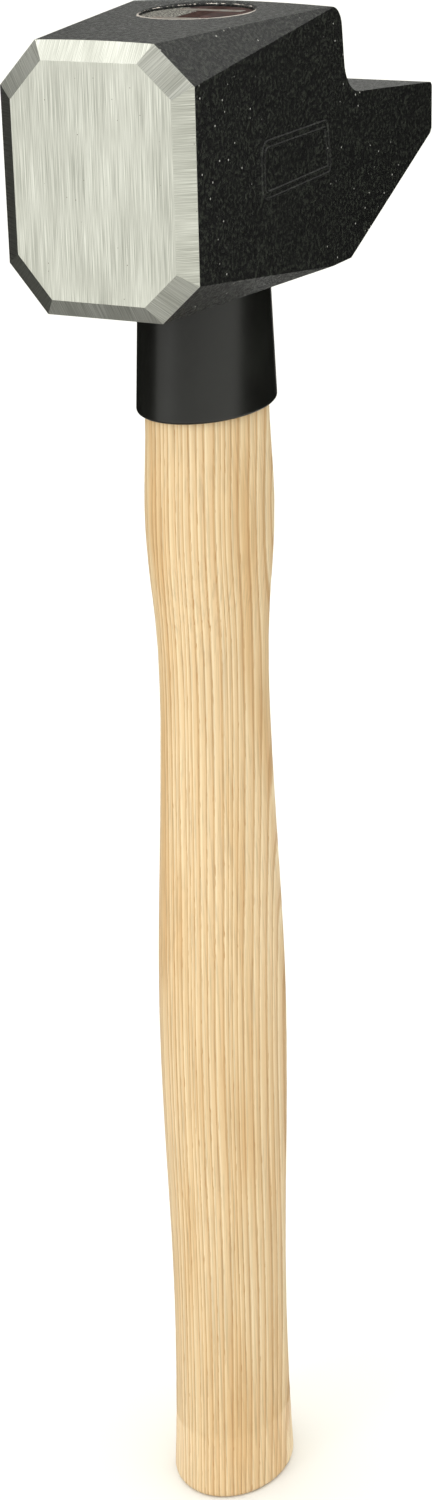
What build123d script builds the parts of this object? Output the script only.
from build123d import *
import math
import os

# Short-handled splitting and breaking hammer: a drop-forged steel head with a bevelled
# striking poll and a stepped wedge end, on an ash handle that is wedged into an oval eye,
# with a plastic protective sleeve round the neck of the handle.
#
# Millimetres. The origin is the centre of the handle's butt. +Z runs up the handle,
# the poll points to -X and the wedge end to +X, and XZ is the middle plane.

# ---------------------------------------------------------------- driving dimensions
handle_length = 404.2       # butt to the end of the tenon
tenon_recess = 1.0          # how far the tenon stops below the eye's rim

# head
head_height = 60.3          # at the foot of the poll's bevel
top_rise = 0.7              # degrees that the top climbs from the poll to the step
top_crown_radius = 400.0    # the top is slightly round across
poll_reach = 53.5           # poll face in front of the handle's axis
poll_width = 47.5           # over the cheeks, at the foot of the poll's bevel
cheek_flare = 1.9           # degrees that each cheek opens towards the wedge end
corner_cut = 9.3            # corner facets, along the top and bottom, at the foot of the bevel
# the same facets down or up the cheeks, right and left as seen facing the poll: they are
# ground by hand, so all four differ
right_upper_cut = 8.5
left_upper_cut = 10.0
right_lower_cut = 9.0
left_lower_cut = 11.0
top_facet_end = 20.5        # where the upper corner facets run out, behind the axis
bottom_facet_end = 18.0     # where the lower corner facets run out
bevel_length = 3.1          # poll bevel, measured along the head
bevel_inset = 4.1           # poll bevel on the four sides, measured across the face
corner_bevel_inset = 4.9    # poll bevel on the four corners

# wedge end
block_end = 22.5            # rear of the full-height block at the top, behind the axis
step_lean = 3.0             # how far the step leans back on its way down
step_corner_radius = 6.5
step_root_radius = 9.0
wedge_reach = 77.0          # wedge end behind the handle's axis
wedge_top = 5.1             # upper lip of the end face, above the head's mid-height
wedge_bottom = -7.1         # lower lip of the end face
ledge_fall = 5.0            # degrees that the ledge falls towards the end
slope_start = 28.0          # where the underside starts to rise, behind the axis
lip_chamfer = 0.8

# eye: an oval that widens upwards, so that the wedges lock the tenon in it
eye_bottom_length = 29.4
eye_bottom_width = 21.6
eye_top_length = 30.5
eye_top_width = 25.5
eye_rim_chamfer = 0.8

# handle: ovals (length fore and aft, width) and their heights above the butt
butt_oval = (40.6, 32.6)
butt_edge_radius = 1.6
heel_oval = (38.0, 29.7)
heel_height = 57.0
belly_oval = (42.4, 31.7)
belly_height = 140.0
waist_oval = (36.2, 25.5)
waist_height = 246.0
shoulder_oval = (42.2, 29.2)
shoulder_height = 286.0
neck_oval = (40.2, 27.4)    # where the handle enters the sleeve
ovals_per_stretch = 4       # how finely each stretch of the grip is lofted

# protective sleeve
sleeve_length = 31.5
sleeve_mouth_wall = 2.0
sleeve_top_wall = 4.2
sleeve_edge_radius = 0.8

# wedges
wood_wedge_depth = 38.0
wood_wedge_thick = 5.0
wood_wedge_tip = 1.6
kerf_width = 1.6
kerf_depth = 44.0
steel_wedge_depth = 24.0
steel_wedge_thick = 3.2
steel_wedge_tip = 0.8
steel_wedge_width = 16.0
steel_wedge_offset = 8.0    # from the handle's axis, fore and aft

# clearances
eye_gap = 0.03              # tenon to eye, all round
sleeve_gap = 0.10           # sleeve to neck, all round
wedge_gap = 0.02            # wedge faces to the wood

# ---------------------------------------------------------------- worked-out heights
bevel_foot = bevel_length - poll_reach      # where the bevel meets the block, along X
climb_to_eye = -bevel_foot * math.tan(math.radians(top_rise))
head_top = handle_length + tenon_recess - climb_to_eye      # at the foot of the bevel
head_bottom = head_top - head_height
head_middle = head_top - head_height / 2
sleeve_bottom = head_bottom - sleeve_length
reach = 2 * (poll_reach + wedge_reach)      # longer than the head, for cutting tools


def cheek_half_width(x):
    """Half the head's width at a place along it."""
    return poll_width / 2 + (x - bevel_foot) * math.tan(math.radians(cheek_flare))


def top_height(x):
    """Height of the head's top, at the crest of its crown, at a place along the head."""
    return head_top + (x - bevel_foot) * math.tan(math.radians(top_rise))


def crown_drop(y):
    """How far the crowned top has fallen at a distance y from the middle."""
    return top_crown_radius - math.sqrt(top_crown_radius**2 - y**2)


def oval(size, z, grow=0.0):
    """An oval sketch at height z; grow is added all round."""
    sketch = Ellipse(size[0] / 2 + grow, size[1] / 2 + grow)
    return Plane.XY.offset(z) * sketch


def cut_by_plane(body, a, b, c):
    """Keep the side of the plane through a, b and c that holds the middle of the poll block."""
    a, b, c = Vector(*a), Vector(*b), Vector(*c)
    normal = (b - a).cross(c - a).normalized()
    middle = Vector((block_end - poll_reach) / 2, 0, head_middle)
    if (middle - a).dot(normal) > 0:
        normal = -normal
    tool = Plane(origin=a, z_dir=normal) * Box(
        2 * reach, 2 * reach, reach, align=(Align.CENTER, Align.CENTER, Align.MIN)
    )
    return body - tool


# ---------------------------------------------------------------- head
def side_profile():
    """The head's outline seen from the side, as a face in the XZ plane."""
    ledge_slope = math.tan(math.radians(ledge_fall))
    ledge_root_x = block_end + step_lean
    ledge_root_z = wedge_top + (wedge_reach - ledge_root_x) * ledge_slope
    half = head_height / 2
    corners = [
        (-poll_reach, top_height(-poll_reach) - head_middle),
        (block_end, top_height(block_end) - head_middle),
        (ledge_root_x, ledge_root_z),
        (wedge_reach, wedge_top),
        (wedge_reach, wedge_bottom),
        (slope_start, -half),
        (-poll_reach, -half),
    ]
    outline = FilletPolyline(
        *corners,
        close=True,
        radius=[0, step_corner_radius, step_root_radius, 0, 0, 0, 0],
    )
    return Plane.XZ.offset(0) * Pos(0, head_middle) * make_face(outline)


def plan_profile():
    """The head's outline seen from above: cheeks that open towards the wedge end."""
    ends = (-poll_reach, wedge_reach)
    near = [(x, -cheek_half_width(x)) for x in ends]
    far = [(x, cheek_half_width(x)) for x in reversed(ends)]
    return Plane.XY.offset(head_bottom) * make_face(Polyline(*near, *far, close=True))


def crown_barrel():
    """A long round bar, tilted with the top, whose upper side is the crown of the top."""
    bar = Rot(0, 90, 0) * Cylinder(top_crown_radius, 2 * reach)
    return Pos(bevel_foot, 0, head_top) * Rot(0, -top_rise, 0) * Pos(0, 0, -top_crown_radius) * bar


def cut_corner_facets(body):
    """The four long corner facets, widest at the poll, running out beside the eye."""
    foot = cheek_half_width(bevel_foot)
    cuts = {-1: (right_upper_cut, right_lower_cut), 1: (left_upper_cut, left_lower_cut)}
    for side, (upper_cut, lower_cut) in cuts.items():
        for end_x, low_side in ((top_facet_end, False), (bottom_facet_end, True)):
            end_half = cheek_half_width(end_x)
            foot_z = head_bottom if low_side else head_top - crown_drop(foot - corner_cut)
            end_z = head_bottom if low_side else top_height(end_x) - crown_drop(end_half)
            cheek_z = foot_z + lower_cut if low_side else foot_z - upper_cut
            across = (bevel_foot, side * (foot - corner_cut), foot_z)
            down = (bevel_foot, side * foot, cheek_z)
            body = cut_by_plane(body, across, down, (end_x, side * end_half, end_z))
    return body


def poll_octagon():
    """Corners (y, z) of the poll at the foot of its bevel, in order round the face."""
    half_w = cheek_half_width(bevel_foot)
    inner_w = half_w - corner_cut
    low, high = head_bottom, head_top
    return [
        (-inner_w, high),
        (inner_w, high),
        (half_w, high - left_upper_cut),
        (half_w, low + left_lower_cut),
        (inner_w, low),
        (-inner_w, low),
        (-half_w, low + right_lower_cut),
        (-half_w, high - right_upper_cut),
    ]


def cut_poll_bevel(body):
    """The ground bevel round the striking face, one plane for each of its eight sides."""
    corners = poll_octagon()
    for i, (y1, z1) in enumerate(corners):
        y2, z2 = corners[(i + 1) % len(corners)]
        length = math.hypot(y2 - y1, z2 - z1)
        inset = bevel_inset if i % 2 == 0 else corner_bevel_inset
        # the corners run clockwise seen from behind, so this turn points into the face
        step_y = (z2 - z1) / length * inset
        step_z = (y1 - y2) / length * inset
        inner = (-poll_reach, y1 + step_y, z1 + step_z)
        body = cut_by_plane(body, (bevel_foot, y1, z1), (bevel_foot, y2, z2), inner)
    return body


def eye_oval(z, gap):
    """The eye's oval at height z, drawn in by gap all round."""
    rise = (z - head_bottom) / head_height
    length = eye_bottom_length + (eye_top_length - eye_bottom_length) * rise
    width = eye_bottom_width + (eye_top_width - eye_bottom_width) * rise
    return oval((length, width), z, -gap)


def eye_shape(low, high, gap=0.0):
    """The eye's tapered space between two heights, drawn in by gap all round."""
    return loft([eye_oval(low, gap), eye_oval(high, gap)], ruled=True)


def make_head():
    """Forged head: flared block and wedge end, corner facets, poll bevel and eye."""
    width = 2 * cheek_half_width(wedge_reach)
    body = extrude(side_profile(), width, both=True)
    body = body & extrude(plan_profile(), 2 * head_height)
    body = body & crown_barrel()
    lips = body.edges().filter_by(Axis.Y).filter_by_position(
        Axis.X, wedge_reach - lip_chamfer, wedge_reach + lip_chamfer
    )
    body = chamfer(lips, lip_chamfer)
    body = cut_corner_facets(body)
    body = cut_poll_bevel(body)
    eye_top = top_height(0)
    body -= eye_shape(head_bottom - eye_rim_chamfer, eye_top + 2 * eye_rim_chamfer)
    # the rim tool starts inside the eye and ends above the head, so that no edges coincide
    rim_low = eye_oval(eye_top - 2 * eye_rim_chamfer, eye_rim_chamfer)
    rim_high = eye_oval(eye_top + eye_rim_chamfer, -2 * eye_rim_chamfer)
    body -= loft([rim_low, rim_high], ruled=True)
    return body


# ---------------------------------------------------------------- handle and wedges
def taper(top_thick, tip_thick, depth, width, across):
    """A wedge that hangs from the end of the tenon; across turns it to lie along Y."""
    top = Rectangle(width, top_thick)
    tip = Rectangle(width, tip_thick)
    turn = Rot(0, 0, 90) if across else Rot(0, 0, 0)
    low = Plane.XY.offset(handle_length - depth) * turn * tip
    high = Plane.XY.offset(handle_length) * turn * top
    return loft([low, high], ruled=True)


def wood_wedge_slab(gap=0.0):
    """The lengthwise wedge before it is cut to the eye's oval; gap is added to each face."""
    return taper(
        wood_wedge_thick + 2 * gap, wood_wedge_tip + 2 * gap, wood_wedge_depth, 2 * eye_top_length, False
    )


def steel_wedge_shape(side, gap=0.0):
    """A cross wedge in front of (-1) or behind (1) the handle's axis; gap is added all round."""
    shape = taper(
        steel_wedge_thick + 2 * gap,
        steel_wedge_tip + 2 * gap,
        steel_wedge_depth + gap,
        steel_wedge_width + 2 * gap,
        True,
    )
    return Pos(side * steel_wedge_offset, 0, 0) * shape


def flare(share):
    """Ease for the butt: steepest at the end, flat at the heel."""
    return 1 - (1 - share) ** 2


def swell(share):
    """Ease for a stretch that is flat at both ends."""
    return (1 - math.cos(math.pi * share)) / 2


def grip_ovals():
    """Ovals up the grip, from the butt to the mouth of the sleeve."""
    stations = [
        (0.0, butt_oval, flare),
        (heel_height, heel_oval, swell),
        (belly_height, belly_oval, swell),
        (waist_height, waist_oval, swell),
        (shoulder_height, shoulder_oval, swell),
        (sleeve_bottom, neck_oval, swell),
    ]
    ovals = []
    for (z1, size1, ease), (z2, size2, _) in zip(stations, stations[1:]):
        for step in range(ovals_per_stretch):
            share = step / ovals_per_stretch
            size = [a + (b - a) * ease(share) for a, b in zip(size1, size2)]
            ovals.append(oval(size, z1 + (z2 - z1) * share))
    return ovals + [oval(neck_oval, sleeve_bottom)]


def grip_shape():
    """The handle below the head: a smooth loft through its ovals, with an eased butt edge."""
    grip = loft(grip_ovals())
    return fillet(grip.edges().sort_by(Axis.Z)[0], butt_edge_radius)


def neck_shape(grow=0.0):
    """The handle's neck inside the sleeve, tapering to the eye; grow is added all round."""
    tip = (eye_bottom_length - 2 * eye_gap, eye_bottom_width - 2 * eye_gap)
    return loft([oval(neck_oval, sleeve_bottom, grow), oval(tip, head_bottom, grow)], ruled=True)


def make_handle():
    """Ash handle: grip, neck, and a tenon that is sawn for the wedges."""
    tenon = eye_shape(head_bottom, handle_length, eye_gap)
    kerf = Pos(0, 0, handle_length) * Box(
        2 * eye_top_length, kerf_width, kerf_depth, align=(Align.CENTER, Align.CENTER, Align.MAX)
    )
    tenon -= kerf
    tenon -= wood_wedge_slab(wedge_gap)
    for side in (-1, 1):
        tenon -= steel_wedge_shape(side, wedge_gap)
    return grip_shape() + neck_shape() + tenon


def make_wooden_wedge():
    """Beech wedge along the eye, cut to its oval and split by the cross wedges."""
    wedge = wood_wedge_slab() & eye_shape(head_bottom, handle_length, eye_gap)
    for side in (-1, 1):
        wedge -= steel_wedge_shape(side, wedge_gap)
    return wedge


# ---------------------------------------------------------------- protective sleeve
def make_sleeve():
    """Plastic collar: a tapered tube that follows the neck and butts against the head."""
    mouth = oval(neck_oval, sleeve_bottom, sleeve_gap + sleeve_mouth_wall)
    tip = (eye_bottom_length - 2 * eye_gap, eye_bottom_width - 2 * eye_gap)
    top = oval(tip, head_bottom, sleeve_gap + sleeve_top_wall)
    shell = loft([mouth, top], ruled=True)
    shell = fillet(shell.edges().sort_by(Axis.Z)[0], sleeve_edge_radius)
    return shell - neck_shape(sleeve_gap)


# ---------------------------------------------------------------- write the pieces
def single_solid(shape):
    """The one solid of a piece, so that a stray sliver or a split piece is never written."""
    solids = shape.solids()
    if len(solids) != 1:
        raise ValueError(f"expected one solid, found {len(solids)}")
    return solids[0]


pieces = {
    "head": make_head(),
    "handle": make_handle(),
    "protective_sleeve": make_sleeve(),
    "wooden_wedge": make_wooden_wedge(),
    "steel_wedge_front": steel_wedge_shape(-1),
    "steel_wedge_rear": steel_wedge_shape(1),
}

os.makedirs("parts", exist_ok=True)
for node, shape in pieces.items():
    export_step(single_solid(shape), f"parts/{node}.step")
